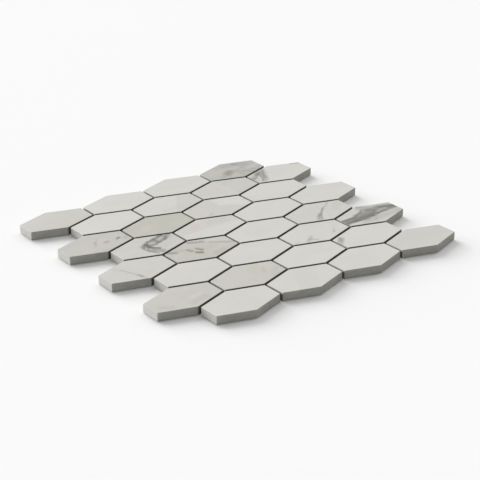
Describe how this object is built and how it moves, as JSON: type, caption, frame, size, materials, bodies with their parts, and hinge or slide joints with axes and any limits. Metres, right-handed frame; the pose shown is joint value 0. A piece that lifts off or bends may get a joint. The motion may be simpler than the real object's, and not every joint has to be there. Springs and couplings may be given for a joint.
{
  "type": "hexagon mosaic tile sheet",
  "caption": "Sheet of elongated hexagon mosaic tile in marble-look porcelain, staggered rows on a glass-fibre mesh.",
  "frame": {"origin": "middle of the sheet's underside, the plane that beds in the adhesive", "axes": "+X along the rows of chips, +Y from row 8 to row 1, +Z out of the face"},
  "size_m": [0.3348, 0.304, 0.009],
  "materials": {
    "porcelain": "matt marble-look glaze, off-white with grey veins; unglazed sides",
    "glass_fibre_mesh": "open woven glass-fibre net, resin coated"
  },
  "bodies": {
    "root": {"chip_row_1_1": "porcelain", "chip_row_1_2": "porcelain", "chip_row_1_3": "porcelain", "chip_row_1_4": "porcelain", "chip_row_2_1": "porcelain", "chip_row_2_2": "porcelain", "chip_row_2_3": "porcelain", "chip_row_2_4": "porcelain", "chip_row_3_1": "porcelain", "chip_row_3_2": "porcelain", "chip_row_3_3": "porcelain", "chip_row_3_4": "porcelain", "chip_row_4_1": "porcelain", "chip_row_4_2": "porcelain", "chip_row_4_3": "porcelain", "chip_row_4_4": "porcelain", "chip_row_5_1": "porcelain", "chip_row_5_2": "porcelain", "chip_row_5_3": "porcelain", "chip_row_5_4": "porcelain", "chip_row_6_1": "porcelain", "chip_row_6_2": "porcelain", "chip_row_6_3": "porcelain", "chip_row_6_4": "porcelain", "chip_row_7_1": "porcelain", "chip_row_7_2": "porcelain", "chip_row_7_3": "porcelain", "chip_row_7_4": "porcelain", "chip_row_8_1": "porcelain", "chip_row_8_2": "porcelain", "chip_row_8_3": "porcelain", "chip_row_8_4": "porcelain", "mesh_back_half": "glass_fibre_mesh", "mesh_front_half": "glass_fibre_mesh"}
  },
  "joints": []
}
